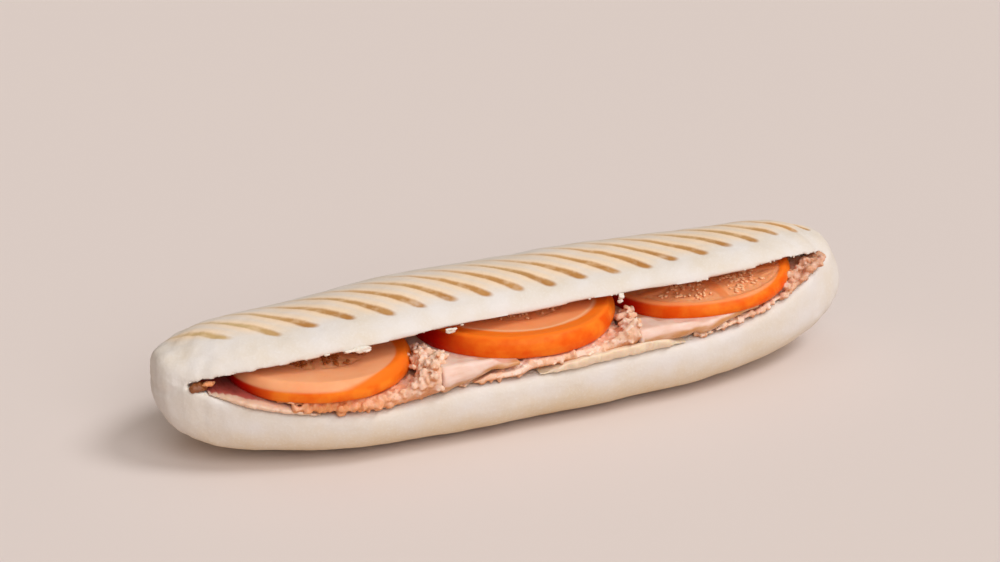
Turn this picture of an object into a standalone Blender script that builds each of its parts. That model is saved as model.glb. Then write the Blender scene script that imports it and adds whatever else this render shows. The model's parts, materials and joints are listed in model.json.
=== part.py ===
# Grilled panini: a long white roll cut open along its front, closed at the back and at both ends,
# filled with cheese, roast chicken and three thick slices of tomato.
# Metres, +Z up, +X along the roll, the open mouth faces -Y, origin under the middle of the roll.
import math

import bmesh
import bpy
from mathutils import Vector, noise

MM = 0.001
CLEARANCE = 0.3 * MM

# The roll is drawn through nine evenly spaced stations, from its left end to its right end.
HALF_LENGTH = 131 * MM
FRONT_REACH = (21, 31, 37, 38, 38, 37.5, 36, 31, 23)
BACK_REACH = (20.5, 32.5, 38, 40, 40, 39, 35.5, 28, 20.5)
LIP_HEIGHT = (33.5, 23.5, 19.5, 22.5, 22.5, 24, 24.5, 30, 41)
MOUTH_GAP = (4.5, 13, 19, 17, 17, 17, 16.5, 13, 6)
CROWN_RISE = (12.5, 13, 14, 14, 14, 13, 13, 11.5, 11)
UNDERSIDE = (4.5, 3, 1, 0, 0, 0, 1, 3, 5)
FLATTENED = 0.8 * MM          # how far the soft underside is pressed flat by its own rest

# Blunt ends: a higher power keeps the full section further out.
LEFT_END = (8.4, 2.9)
RIGHT_END = (7.4, 2.4)
LEFT_LEAN = 1.5 * MM
RIGHT_LEAN = 10.4 * MM        # the lower half of the right end sticks out past the upper half
LEAN_HEIGHT = 18 * MM

# The cut that opens the roll.
MOUTH_END = 0.955             # share of the half length at which the lips meet
LIP_SETBACK = 14 * MM         # the raised upper half sits behind the lower lip
END_SETBACK = 2 * MM
HINGE_LIFT = 0.4              # share of the gap that still lifts the halves at the back
LOWER_POWER = 3.3             # boxy lower half
UPPER_POWER = 1.9             # domed upper half
LIP_ANGLE = 0.012             # where the crust gives way to the cut face
POCKET_BACK = 21 * MM         # how far behind the middle line the cut goes
FLOOR_RISE = 0.06             # share of the gap the floor rises towards the back
ROOF_FALL = 0.08              # and the roof falls
ROOF_BULGE = 2.0 * MM         # how far the filling pushes the roof up

# Tomato slices: (name, middle x, middle y, underside height, radius, thickness, rise to the right)
TOMATOES = (
    ("tomato_slice_left", -74.5, -5.0, 26.9, 32.8, 7.3, -0.01),
    ("tomato_slice_middle", 1.5, -0.5, 29.9, 37.5, 8.3, 0.026),
    ("tomato_slice_right", 76.8, 0.4, 32.2, 35.6, 6.1, 0.102),
)
TOMATO_BACK = 14 * MM         # the slices are cut straight behind their middle
TOMATO_MARGIN = 3 * MM        # and stay this far from the back of the pocket
TOMATO_SIDES = 44
TOMATO_LOBES = 0.008          # how far the rim swells at each of its five chambers
# The rim from underside to top: (share of the thickness, inset in millimetres), convex and slightly slanted.
TOMATO_RIM = ((0.0, 8.0), (0.0, 1.5), (0.12, 0.5), (0.4, 0.0), (0.7, 0.5), (0.9, 1.5), (1.0, 2.6), (0.97, 6.0),
              (0.93, 12.0))

# Filling under the tomato. Spans run along the roll, crests are the heights reached between the slices.
CHEESE_THICKNESS = 1.5 * MM
CHEESE_LEFT = (-118 * MM, -84 * MM)
CHEESE_RIGHT = (-4 * MM, 54 * MM)
CHEESE_INSET = (-0.8 * MM, -0.2 * MM)   # both sheets hang a little past the lip
PIECES_LEFT = (-97 * MM, -42 * MM)
SLICE_MIDDLE = (-41.4 * MM, -12 * MM)
PIECES_MIDDLE = (-35 * MM, 34 * MM)
SLICE_RIGHT = (34.6 * MM, 86 * MM)
PIECES_RIGHT = (59 * MM, 117 * MM)
CREST_LEFT = 37 * MM
CREST_MIDDLE = 39 * MM
CREST_RIGHT = 38 * MM
CLIMB_LEFT = (-62 * MM, -48 * MM)
CLIMB_MIDDLE = (22 * MM, 31 * MM)
CLIMB_RIGHT = (96 * MM, 108 * MM)
SLICE_TOP = 32 * MM           # the smooth slices stay lower between the slices of tomato
SEAM_MARGIN = 2.7 * MM
SEAM_SLOPE = 2.5
SLICE_EDGE = 1.6 * MM         # how thin a smooth slice gets at its right edge
THINNEST = 1.2 * MM           # how thin torn pieces get under a smooth slice
THINNEST_LAYER = 0.5 * MM
RIM_MARGIN = 3.8 * MM         # the filling rises beside a slice of tomato from this far off its rim
RIM_SLOPE = 1.3
FILLING_INSET = 1.2 * MM      # how far the chicken stays behind the lower lip
FILLING_BACK = 17 * MM
FILLING_MARGIN = 4 * MM       # room left at the back of the pocket
PIECE_LUMPS = 1.3 * MM
FRONT_SWELL = 0.28            # how far the front edges round outwards, as a share of the thickness


def along(values, s):
    """The size at s, from -1 at the left end to 1 at the right, on a smooth curve through the stations."""
    last = len(values) - 1
    place = min(max((s + 1) / 2 * last, 0.0), last)
    i = min(int(place), last - 1)
    t = place - i
    p1, p2 = values[i], values[i + 1]
    p0 = values[i - 1] if i > 0 else 2 * p1 - p2
    p3 = values[i + 2] if i < last - 1 else 2 * p2 - p1
    bend = (2 * p0 - 5 * p1 + 4 * p2 - p3) * t * t + (3 * p1 - p0 - 3 * p2 + p3) * t ** 3
    return (p1 + ((p2 - p0) * t + bend) / 2) * MM


def end_taper(s):
    """1 over most of the roll, falling round to 0 at each end."""
    power, bluntness = LEFT_END if s < 0 else RIGHT_END
    return max(1 - abs(s) ** power, 0.0) ** (1 / bluntness)


def mouth_share(s):
    """0 in the middle of the mouth, 1 where the lips meet."""
    return min(abs(s) / MOUTH_END, 1.0)


def mouth_gap(s):
    return along(MOUTH_GAP, s) * (1 - mouth_share(s) ** 12)


def setback(s):
    t = mouth_share(s)
    return (LIP_SETBACK * (1 - t * t) + END_SETBACK * t * t) * end_taper(s)


def front_line(s):
    """Y of the lower lip."""
    return -along(FRONT_REACH, s) * end_taper(s)


def pocket_back(s):
    """Y of the back of the cut: it runs round to the lips at both ends of the mouth."""
    opening = (1 - mouth_share(s) ** 5) ** 0.5
    return front_line(s) + (POCKET_BACK - front_line(s)) * opening


def floor_height(s, v):
    """Height of the lower cut face, v from 0 at the lip to 1 at the back of the pocket."""
    return along(LIP_HEIGHT, s) + mouth_gap(s) * FLOOR_RISE * v


def roof_height(s, v):
    """Height of the upper cut face, pushed up a little by the filling behind the lip."""
    bulge = ROOF_BULGE * max(math.sin(math.pi * min(v, 1.0)), 0.0) ** 0.5 * (1 - mouth_share(s) ** 8)
    return along(LIP_HEIGHT, s) + mouth_gap(s) * (1 - ROOF_FALL * v) + bulge


def lean(s, z):
    """X shift that makes the right end slant, most at its very end."""
    reach = LEFT_LEAN if s < 0 else -RIGHT_LEAN
    height = (z - along(LIP_HEIGHT, s)) / LEAN_HEIGHT
    return reach * abs(s) ** 6 * min(max(height, -1.0), 1.0)


def half_section(s, upper, count):
    """Crust points of one half: the lower one from lip to back, the upper one from back to lip."""
    taper = end_taper(s)
    gap = mouth_gap(s)
    lip = along(LIP_HEIGHT, s)
    front = front_line(s) + (setback(s) if upper else 0.0)
    back = along(BACK_REACH, s) * taper
    power = UPPER_POWER if upper else LOWER_POWER
    points = []
    for k in range(count):
        # The angle is 0 at the front and pi at the back; only the upper half holds the back point.
        if upper:
            angle = math.pi - (math.pi - LIP_ANGLE) * k / (count - 1)
        else:
            angle = LIP_ANGLE + (math.pi - LIP_ANGLE) * k / count
        side = -math.cos(angle)
        u = math.copysign(abs(side) ** (2 / power), side)
        bulge = math.sin(angle) ** (2 / power)
        y = front + (back - front) * (u + 1) / 2
        middle = lip + HINGE_LIFT * gap * (u + 1) / 2
        if upper:
            rise = along(CROWN_RISE, s) * taper
            z = middle + gap * (1 - u) / 2 + rise * bulge
        else:
            drop = (middle - along(UNDERSIDE, s) + FLATTENED) * taper
            z = max(middle - drop * bulge, 0.0)
        points.append((y, z))
    return points


def mouth_path(s, upper_lip, lower_lip):
    """Points along the cut faces, from the upper lip to the back of the pocket and out to the lower lip."""
    shares = (0.05, 0.28, 0.53, 0.77, 0.95)
    y_low, y_back = front_line(s), pocket_back(s)
    y_up = min(y_low + setback(s), y_back)
    path = []
    for v in shares:
        y = y_up + (y_back - y_up) * v
        depth = (y - y_low) / max(y_back - y_low, 1e-6)
        path.append((y, roof_height(s, depth)))
    for share in (0.68, 0.32):
        low, high = floor_height(s, 1), roof_height(s, 1)
        path.append((y_back, low + (high - low) * share))
    for v in reversed(shares):
        y = y_low + (y_back - y_low) * v
        path.append((y, floor_height(s, v)))
    # Past the ends of the mouth the same points lie on the closed crust.
    shut = min(max((mouth_share(s) - 0.975) / 0.025, 0.0), 1.0)
    mixed = []
    for k, (y, z) in enumerate(path):
        t = (k + 1) / (len(path) + 1)
        y_shut = upper_lip[0] + (lower_lip[0] - upper_lip[0]) * t
        z_shut = upper_lip[1] + (lower_lip[1] - upper_lip[1]) * t
        mixed.append((y + (y_shut - y) * shut, z + (z_shut - z) * shut))
    return mixed


def section(s):
    lower = half_section(s, False, 18)
    upper = half_section(s, True, 18)
    return lower + upper + mouth_path(s, upper[-1], lower[0])


def station_places():
    """Places of the sections along the roll: even in the middle, closer where the ends turn round."""
    places = [-0.8 + 1.6 * k / 26 for k in range(27)]
    for taper in (0.93, 0.89, 0.84, 0.79, 0.74, 0.69, 0.62, 0.52, 0.38, 0.2):
        for sign, (power, bluntness) in ((-1, LEFT_END), (1, RIGHT_END)):
            places.append(sign * (1 - taper ** bluntness) ** (1 / power))
    return sorted(places)


def mesh_object(name, bm, material):
    bmesh.ops.recalc_face_normals(bm, faces=bm.faces)
    mesh = bpy.data.meshes.new(name)
    bm.to_mesh(mesh)
    bm.free()
    mesh.materials.append(material)
    mesh.shade_smooth()
    mesh.set_sharp_from_angle(angle=math.radians(50))
    obj = bpy.data.objects.new(name, mesh)
    bpy.context.collection.objects.link(obj)
    return obj


def loft(bm, rings, cap=None):
    """Joins rings of equally many points with faces and closes both ends, with a fan or the faces in cap."""
    rows = [[bm.verts.new(point) for point in ring] for ring in rings]
    count = len(rows[0])
    for row, following in zip(rows, rows[1:]):
        for k in range(count):
            after = (k + 1) % count
            bm.faces.new((row[k], row[after], following[after], following[k]))
    for row in (rows[0], rows[-1]):
        if cap:
            for face in cap:
                bm.faces.new([row[k] for k in face])
            continue
        middle = sum((vert.co for vert in row), Vector()) / count
        hub = bm.verts.new(middle)
        for k in range(count):
            bm.faces.new((row[k], row[(k + 1) % count], hub))


def plain_material(name, colour, roughness):
    material = bpy.data.materials.new(name)
    material.use_nodes = True
    shader = material.node_tree.nodes["Principled BSDF"]
    shader.inputs["Base Color"].default_value = (*colour, 1.0)
    shader.inputs["Roughness"].default_value = roughness
    shader.inputs["Metallic"].default_value = 0.0
    material.diffuse_color = (*colour, 1.0)
    return material


def make_roll(material):
    rings = []
    for s in station_places():
        rings.append([(s * HALF_LENGTH + lean(s, z), y, z) for y, z in section(s)])
    bm = bmesh.new()
    loft(bm, rings)
    return mesh_object("roll", bm, material)


def tomato_underside(tomato, x):
    """Height of a slice's underside at x."""
    _, middle_x, _, height, _, _, rise = tomato
    return height * MM + rise * (x - middle_x * MM)


def tomato_outline(radius, cut):
    """A round slice cut straight at the back, seen from above, about its own middle."""
    points = []
    for k in range(TOMATO_SIDES):
        angle = 2 * math.pi * k / TOMATO_SIDES - math.pi / 2
        lobed = radius * (1 + TOMATO_LOBES * math.cos(5 * angle))
        points.append((lobed * math.cos(angle), min(lobed * math.sin(angle), cut)))
    return points


def make_tomato(tomato, material):
    name, middle_x, middle_y, _, radius, thickness, _ = tomato
    outline = tomato_outline(radius * MM, TOMATO_BACK)
    rings = []
    for share, inset in TOMATO_RIM:
        scale = 1 - inset / radius
        ring = []
        for x, y in outline:
            place = middle_x * MM + x * scale
            back = pocket_back(place / HALF_LENGTH) - TOMATO_MARGIN
            height = tomato_underside(tomato, place) + share * thickness * MM
            ring.append((place, min(middle_y * MM + y * scale, back), height))
        rings.append(ring)
    bm = bmesh.new()
    loft(bm, rings)
    return mesh_object(name, bm, material)


def ramp(x, start, end):
    """0 before start, 1 after end, smooth between."""
    t = min(max((x - start) / (end - start), 0.0), 1.0)
    return t * t * (3 - 2 * t)


def pocket_share(s, y):
    """0 at the lower lip, 1 at the back of the pocket."""
    share = (y - front_line(s)) / max(pocket_back(s) - front_line(s), 1e-6)
    return min(max(share, 0.0), 1.0)


def pocket_floor(x, y):
    s = x / HALF_LENGTH
    return floor_height(s, pocket_share(s, y)) + 1.4 * CLEARANCE


def filling_ceiling(x, y, crest):
    """The highest the chicken may reach: under the slices of tomato, or up to a crest between them."""
    s = x / HALF_LENGTH
    ceiling = min(crest, roof_height(s, pocket_share(s, y)) - 2 * CLEARANCE)
    for tomato in TOMATOES:
        _, middle_x, middle_y, _, radius, _, _ = tomato
        outside = math.hypot(x - middle_x * MM, y - middle_y * MM) - radius * MM
        beside = max(outside - RIM_MARGIN, 0.0)
        ceiling = min(ceiling, tomato_underside(tomato, x) - CLEARANCE + RIM_SLOPE * beside)
    return ceiling


def layer(name, span, under, over, inset, material, columns, rows=8, lumps=0.0):
    """A layer of filling between two height functions, its rounded front edge set back from the lip."""
    rings = []
    for i in range(columns + 1):
        x = span[0] + (span[1] - span[0]) * i / columns
        s = x / HALF_LENGTH
        y_front = front_line(s) + inset
        y_back = min(FILLING_BACK, pocket_back(s) - FILLING_MARGIN)
        places = [y_front + (y_back - y_front) * (j / rows) ** 1.2 for j in range(rows + 1)]
        ring = []
        for y in places:
            low = under(x, y)
            thick = max(over(x, y) - low, THINNEST_LAYER)
            rough = 0.5 + 0.5 * noise.noise(Vector((x, y, 0.01)) * 260)
            dip = lumps * rough * min(thick / (4 * MM), 1)
            ring.append((x, y, low + max(thick - dip, THINNEST_LAYER)))
        for y in reversed(places):
            ring.append((x, y, under(x, y)))
        low, high = ring[-1][2], ring[0][2]
        for share in (0.25, 0.5, 0.75):
            z = low + (high - low) * share
            swell = (high - low) * FRONT_SWELL * math.sin(math.pi * share)
            swell += lumps * 0.9 * noise.noise(Vector((x, 0.03, z)) * 330)
            ring.append((x, y_front - swell, z))
        rings.append(ring)
    # The ring runs back over the top, forward along the underside and up the front edge.
    last = 2 * rows + 1
    cap = [(j, j + 1, last - j - 1, last - j) for j in range(rows)]
    cap.append((last, last + 1, last + 2, last + 3, 0))
    bm = bmesh.new()
    loft(bm, rings, cap)
    return mesh_object(name, bm, material)


def cheese_top(x, y):
    """Top of what lies under the chicken: the cheese where there is some, else the bread."""
    height = pocket_floor(x, y)
    for left, right in (CHEESE_LEFT, CHEESE_RIGHT):
        beside = ramp(x, left - 7 * MM, left - 3 * MM) - ramp(x, right + 3 * MM, right + 7 * MM)
        height += (CHEESE_THICKNESS + CLEARANCE) * max(beside, 0.0)
    return height


def make_cheese(name, span, inset, material):
    def top(x, y):
        return min(pocket_floor(x, y) + CHEESE_THICKNESS, filling_ceiling(x, y, SLICE_TOP))
    return layer(name, span, pocket_floor, top, inset, material, columns=18, rows=5)


def seam(x, y, run):
    """The slanting face between a smooth slice and the torn pieces it lies on: it rises over the run."""
    low = cheese_top(x, y)
    thin = THINNEST * ramp(x, run[0] - 4 * MM, run[0] - 1.5 * MM)
    room = max(filling_ceiling(x, y, SLICE_TOP) - SLICE_EDGE - low - THINNEST, 0.0)
    return low + thin + room * ramp(x, run[0] + MM, run[1] - 2 * MM)


def make_smooth_slice(name, span, run, material, columns):
    def under(x, y):
        return seam(x, y, run)

    def over(x, y):
        return filling_ceiling(x, y, SLICE_TOP)
    return layer(name, span, under, over, FILLING_INSET, material, columns)


def make_pieces(name, span, crest, climb, material, columns, run=None):
    """Torn pieces: under the slice above them, if any, then heaped up to the crest over the climb."""
    def over(x, y):
        top = filling_ceiling(x, y, SLICE_TOP + (crest - SLICE_TOP) * ramp(x, climb[0], climb[1]))
        if run is None:
            return top
        beyond = max(x - run[1] - SEAM_MARGIN, 0.0)
        covered = seam(min(x, run[1]), y, run) - CLEARANCE + SEAM_SLOPE * beyond
        return min(top, covered)
    return layer(name, span, cheese_top, over, FILLING_INSET, material, columns, lumps=PIECE_LUMPS)


def make_filling():
    cheese = plain_material("mild_cheese", (0.80, 0.62, 0.38), 0.45)
    roast = plain_material("sliced_roast_chicken", (0.80, 0.56, 0.42), 0.5)
    torn = plain_material("torn_roast_chicken", (0.74, 0.45, 0.29), 0.6)
    run_middle = (PIECES_MIDDLE[0], SLICE_MIDDLE[1])
    run_right = (PIECES_RIGHT[0], SLICE_RIGHT[1])
    make_cheese("cheese_slice_left", CHEESE_LEFT, CHEESE_INSET[0], cheese)
    make_cheese("cheese_slice_right", CHEESE_RIGHT, CHEESE_INSET[1], cheese)
    make_smooth_slice("chicken_slice_middle", SLICE_MIDDLE, run_middle, roast, 14)
    make_smooth_slice("chicken_slice_right", SLICE_RIGHT, run_right, roast, 20)
    make_pieces("chicken_pieces_left", PIECES_LEFT, CREST_LEFT, CLIMB_LEFT, torn, 24)
    make_pieces("chicken_pieces_middle", PIECES_MIDDLE, CREST_MIDDLE, CLIMB_MIDDLE, torn, 28, run_middle)
    make_pieces("chicken_pieces_right", PIECES_RIGHT, CREST_RIGHT, CLIMB_RIGHT, torn, 25, run_right)


def build():
    for old in list(bpy.data.objects):
        bpy.data.objects.remove(old, do_unlink=True)
    make_roll(plain_material("white_bread_crust", (0.78, 0.69, 0.57), 0.75))
    tomato_flesh = plain_material("tomato_flesh", (0.85, 0.18, 0.04), 0.3)
    for tomato in TOMATOES:
        make_tomato(tomato, tomato_flesh)
    make_filling()


build()
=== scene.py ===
import json
import math
import random
from types import SimpleNamespace

import bmesh
import bpy
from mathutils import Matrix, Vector, noise

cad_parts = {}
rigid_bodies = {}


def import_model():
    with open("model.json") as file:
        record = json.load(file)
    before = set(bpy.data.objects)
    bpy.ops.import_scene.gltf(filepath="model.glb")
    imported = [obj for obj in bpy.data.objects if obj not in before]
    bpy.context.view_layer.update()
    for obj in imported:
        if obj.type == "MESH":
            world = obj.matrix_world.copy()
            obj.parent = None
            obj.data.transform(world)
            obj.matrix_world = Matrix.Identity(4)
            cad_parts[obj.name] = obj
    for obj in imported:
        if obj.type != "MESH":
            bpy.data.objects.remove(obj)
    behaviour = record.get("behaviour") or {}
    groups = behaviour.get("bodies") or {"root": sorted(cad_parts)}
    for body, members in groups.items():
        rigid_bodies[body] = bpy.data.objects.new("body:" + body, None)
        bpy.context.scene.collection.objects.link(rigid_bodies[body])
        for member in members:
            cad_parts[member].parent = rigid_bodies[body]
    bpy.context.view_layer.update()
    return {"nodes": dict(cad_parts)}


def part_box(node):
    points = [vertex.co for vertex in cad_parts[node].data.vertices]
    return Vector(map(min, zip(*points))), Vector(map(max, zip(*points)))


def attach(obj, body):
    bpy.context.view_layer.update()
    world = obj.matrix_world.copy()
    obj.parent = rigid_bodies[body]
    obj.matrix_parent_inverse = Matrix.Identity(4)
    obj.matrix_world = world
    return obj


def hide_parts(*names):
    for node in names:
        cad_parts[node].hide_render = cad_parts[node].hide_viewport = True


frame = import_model()

# The roll: one long white panini roll, baked with a thin floury crust and cut open along its front. It was
# pressed on a ribbed grill, which left brown stripes on its top, and its cut faces are soft open crumb.
MM = 0.001
LIP_ANGLE = math.radians(15)                    # the lips of the cut are sharper than this
MOUTH_END = 123.5 * MM                          # the lips meet here, on both sides of the middle
POCKET_FLOOR = Vector((0, -5 * MM, 23.5 * MM))  # a place on the cut


def choose(*pieces):
    """Selects these pieces only, the first one active."""
    bpy.ops.object.select_all(action="DESELECT")
    for piece in pieces:
        piece.select_set(True)
    bpy.context.view_layer.objects.active = pieces[0]


def dressed_copy(node, name):
    """A copy of a CAD solid, merged into one skin, for the finished piece."""
    piece = bpy.data.objects.new(name, frame["nodes"][node].data.copy())
    bpy.context.collection.objects.link(piece)
    piece.data.materials.clear()
    choose(piece)
    bpy.ops.object.mode_set(mode="EDIT")
    bpy.ops.mesh.select_all(action="SELECT")
    bpy.ops.mesh.remove_doubles(threshold=0.02 * MM)
    bpy.ops.mesh.tris_convert_to_quads()
    bpy.ops.mesh.select_all(action="DESELECT")
    bpy.ops.object.mode_set(mode="OBJECT")
    return piece


roll = dressed_copy("roll", "panini_roll")

# The lips are the outward edges of the cut. What they enclose is crumb, the second material.
bpy.ops.object.mode_set(mode="EDIT")
bpy.context.tool_settings.mesh_select_mode = (False, True, False)
bpy.ops.mesh.edges_select_sharp(sharpness=LIP_ANGLE)
shape = bmesh.from_edit_mesh(roll.data)
for edge in shape.edges:
    beyond = abs(edge.verts[0].co.x + edge.verts[1].co.x) / 2 > MOUTH_END
    edge.select = beyond or (edge.select and edge.is_convex)
bmesh.update_edit_mesh(roll.data)
bpy.ops.mesh.mark_seam()
bpy.ops.mesh.select_all(action="DESELECT")
bpy.context.tool_settings.mesh_select_mode = (False, False, True)
shape = bmesh.from_edit_mesh(roll.data)
cut_face = min(shape.faces, key=lambda face: (face.calc_center_median() - POCKET_FLOOR).length)
cut_face.select = True
bmesh.update_edit_mesh(roll.data)
bpy.ops.mesh.select_linked(delimit={"SEAM"})
for face in shape.faces:
    face.material_index = 1 if face.select else 0
bmesh.update_edit_mesh(roll.data)
bpy.ops.mesh.select_all(action="DESELECT")
bpy.ops.object.mode_set(mode="OBJECT")


def linear(hex_colour):
    """An sRGB hex colour as a linear RGBA value."""
    parts = [int(hex_colour[k:k + 2], 16) / 255 for k in (1, 3, 5)]
    return [c / 12.92 if c <= 0.04045 else ((c + 0.055) / 1.055) ** 2.4 for c in parts] + [1.0]


def add(tree, kind, inputs=(), **settings):
    """Adds a shader node with its settings, and with its inputs set to values or linked to sockets."""
    made = tree.nodes.new(kind)
    for name, value in settings.items():
        setattr(made, name, value)
    for name, value in dict(inputs).items():
        if isinstance(value, bpy.types.NodeSocket):
            tree.links.new(value, made.inputs[name])
        else:
            made.inputs[name].default_value = value
    return made.outputs


def start_material(name, roughness, scatter=0.0, depth=(1.0, 1.0, 1.0)):
    """A new material, its nodes, its shader and the place on the piece. Light scatters to a depth in mm."""
    material = bpy.data.materials.new(name)
    material.use_nodes = True
    shader = material.node_tree.nodes["Principled BSDF"]
    shader.inputs["Roughness"].default_value = roughness
    shader.inputs["Subsurface Weight"].default_value = scatter
    shader.inputs["Subsurface Radius"].default_value = depth
    shader.inputs["Subsurface Scale"].default_value = MM
    place = add(material.node_tree, "ShaderNodeTexCoord")["Object"]
    return material, material.node_tree, shader, place


# Baked white bread crust: thin, dry and floury, so it is matt with almost no gloss. The stripes are toasted
# starch, and the crust between them is warmed to cream.
CRUST_WHITE = linear("#e3dad4")
CRUST_CREAM = linear("#ded0c0")
CRUST_TAN = linear("#dec5a0")
CRUST_BROWN = linear("#c08c54")
FLOUR_WHITE = linear("#eae3de")
WARMED_CREAM = linear("#ffdab0")
TOAST_GOLD = linear("#cb9458")
TOAST_GREY = linear("#c49a66")
TOAST_DARK = linear("#ae7438")
TOAST_FAINT = linear("#cdb180")
BLOTCH = 14 * MM
FLOUR_GRAIN = 0.9 * MM         # coarser than real flour, so that it shows
FOOT_WANDER = 9 * MM           # how far the edge of the browner foot wanders, along the roll and in height
RIB_PITCH = 12.4 * MM          # from rib to rib, measured along the roll
RIB_TURN = math.radians(36.3)  # the roll lay turned on the grill
RIB_WIDTH = 3.7 * MM
RIB_WAVER = 1.6 * MM           # how far a stripe wanders sideways
FIRST_RIB = -114.36 * MM
CONTACT_FRONT = -15.8 * MM     # the grill touched the roll from here
CONTACT_BACK = 24 * MM         # to here
CONTACT_UNEVEN = 2 * MM        # between the front ends of two stripes
CONTACT_LOST = 1.42            # above 1, so the contact band ends short of the roll's own ends
ROLL_MIDDLE = 2.6 * MM
ROLL_HALF = 134 * MM

crust, tree, shader, place = start_material("baked_white_bread_crust", 0.78)
shader.inputs["Specular IOR Level"].default_value = 0.25
axes = add(tree, "ShaderNodeSeparateXYZ", {0: place})
blotches = add(tree, "ShaderNodeTexNoise", {"Vector": place, "Scale": 1 / BLOTCH, "Detail": 3.0})["Fac"]
blotch_share = add(tree, "ShaderNodeMapRange", {0: blotches, 1: 0.35, 2: 0.7})[0]
pale = add(tree, "ShaderNodeMix", {0: blotch_share, 6: CRUST_WHITE, 7: CRUST_CREAM}, data_type="RGBA")[2]

# The underside and the foot of the ends baked longer: cream, then tan, then light brown.
wander = add(tree, "ShaderNodeTexNoise", {"Vector": place, "Scale": 1 / FOOT_WANDER, "Detail": 4.0})["Fac"]
wander_height = add(tree, "ShaderNodeMath", {0: wander, 1: FOOT_WANDER}, operation="MULTIPLY")[0]
height = add(tree, "ShaderNodeMath", {0: axes["Z"], 1: wander_height}, operation="SUBTRACT")[0]
low_share = add(tree, "ShaderNodeMapRange", {0: height, 1: 15 * MM, 2: -3 * MM},
                interpolation_type="SMOOTHSTEP")[0]
foot_share = add(tree, "ShaderNodeMapRange", {0: height, 1: 0.0, 2: -5 * MM},
                 interpolation_type="SMOOTHSTEP")[0]
tanned = add(tree, "ShaderNodeMix", {0: low_share, 6: pale, 7: CRUST_TAN}, data_type="RGBA")[2]
baked = add(tree, "ShaderNodeMix", {0: foot_share, 6: tanned, 7: CRUST_BROWN}, data_type="RGBA")[2]

# Which rib a point lies nearest to, and how far from it.
along = add(tree, "ShaderNodeMath", {0: axes["Y"], 1: math.tan(RIB_TURN), 2: axes["X"]},
            operation="MULTIPLY_ADD")[0]
waver = add(tree, "ShaderNodeTexNoise", {"Vector": place, "Scale": 1 / (7 * MM), "Detail": 3.0})["Fac"]
wavered = add(tree, "ShaderNodeMath", {0: waver, 1: RIB_WAVER, 2: along}, operation="MULTIPLY_ADD")[0]
from_first = add(tree, "ShaderNodeMath", {0: wavered, 1: FIRST_RIB + RIB_WAVER / 2}, operation="SUBTRACT")[0]
rib_count = add(tree, "ShaderNodeMath", {0: from_first, 1: RIB_PITCH}, operation="DIVIDE")[0]
rib = add(tree, "ShaderNodeMath", {0: rib_count}, operation="ROUND")[0]
rib_share = add(tree, "ShaderNodeMath", {0: rib_count, 1: rib}, operation="SUBTRACT")[0]
off_rib = add(tree, "ShaderNodeMath", {0: rib_share, 1: RIB_PITCH * math.cos(RIB_TURN)},
              operation="MULTIPLY")[0]
chance = add(tree, "ShaderNodeTexWhiteNoise", {"W": rib}, noise_dimensions="1D")["Color"]
chances = add(tree, "ShaderNodeSeparateColor", {0: chance})

# Where the stripes begin: the contact band narrows towards both ends of the roll.
from_middle = add(tree, "ShaderNodeMath", {0: axes["X"], 1: ROLL_MIDDLE}, operation="SUBTRACT")[0]
half_share = add(tree, "ShaderNodeMath", {0: from_middle, 1: ROLL_HALF}, operation="DIVIDE")[0]
end_share = add(tree, "ShaderNodeMath", {0: half_share}, operation="ABSOLUTE")[0]
end_share = add(tree, "ShaderNodeMath", {0: end_share, 1: 5.0}, operation="POWER")[0]
narrowing = add(tree, "ShaderNodeMath", {0: end_share, 1: -CONTACT_LOST, 2: 1.0}, operation="MULTIPLY_ADD")[0]
foremost = CONTACT_FRONT - CONTACT_UNEVEN / 2
uneven = add(tree, "ShaderNodeMath", {0: chances["Red"], 1: CONTACT_UNEVEN, 2: foremost},
             operation="MULTIPLY_ADD")[0]
front = add(tree, "ShaderNodeMath", {0: uneven, 1: narrowing}, operation="MULTIPLY")[0]
before_front = add(tree, "ShaderNodeMath", {0: front, 1: axes["Y"]}, operation="SUBTRACT")[0]
past_front = add(tree, "ShaderNodeMath", {0: before_front, 1: 0.0}, operation="MAXIMUM")[0]

# A stripe has a round front end and grows thinner to the back. Its halo is wider and softer.
both_ways = add(tree, "ShaderNodeCombineXYZ", {0: off_rib, 1: past_front})[0]
away = add(tree, "ShaderNodeVectorMath", {0: both_ways}, operation="LENGTH")["Value"]
swelling = add(tree, "ShaderNodeMapRange", {0: axes["Y"], 1: 14 * MM, 2: -16 * MM, 3: 0.5, 4: 1.0})[0]
half_width = add(tree, "ShaderNodeMath", {0: swelling, 1: RIB_WIDTH / 2}, operation="MULTIPLY")[0]
inside = add(tree, "ShaderNodeMath", {0: half_width, 1: away}, operation="SUBTRACT")[0]
on_stripe = add(tree, "ShaderNodeMapRange", {0: inside, 1: -0.7 * MM, 2: 0.9 * MM},
                interpolation_type="SMOOTHSTEP")[0]
near_stripe = add(tree, "ShaderNodeMapRange", {0: inside, 1: -3.6 * MM, 2: 0.0, 3: 0.3, 4: 1.0})[0]

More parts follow.
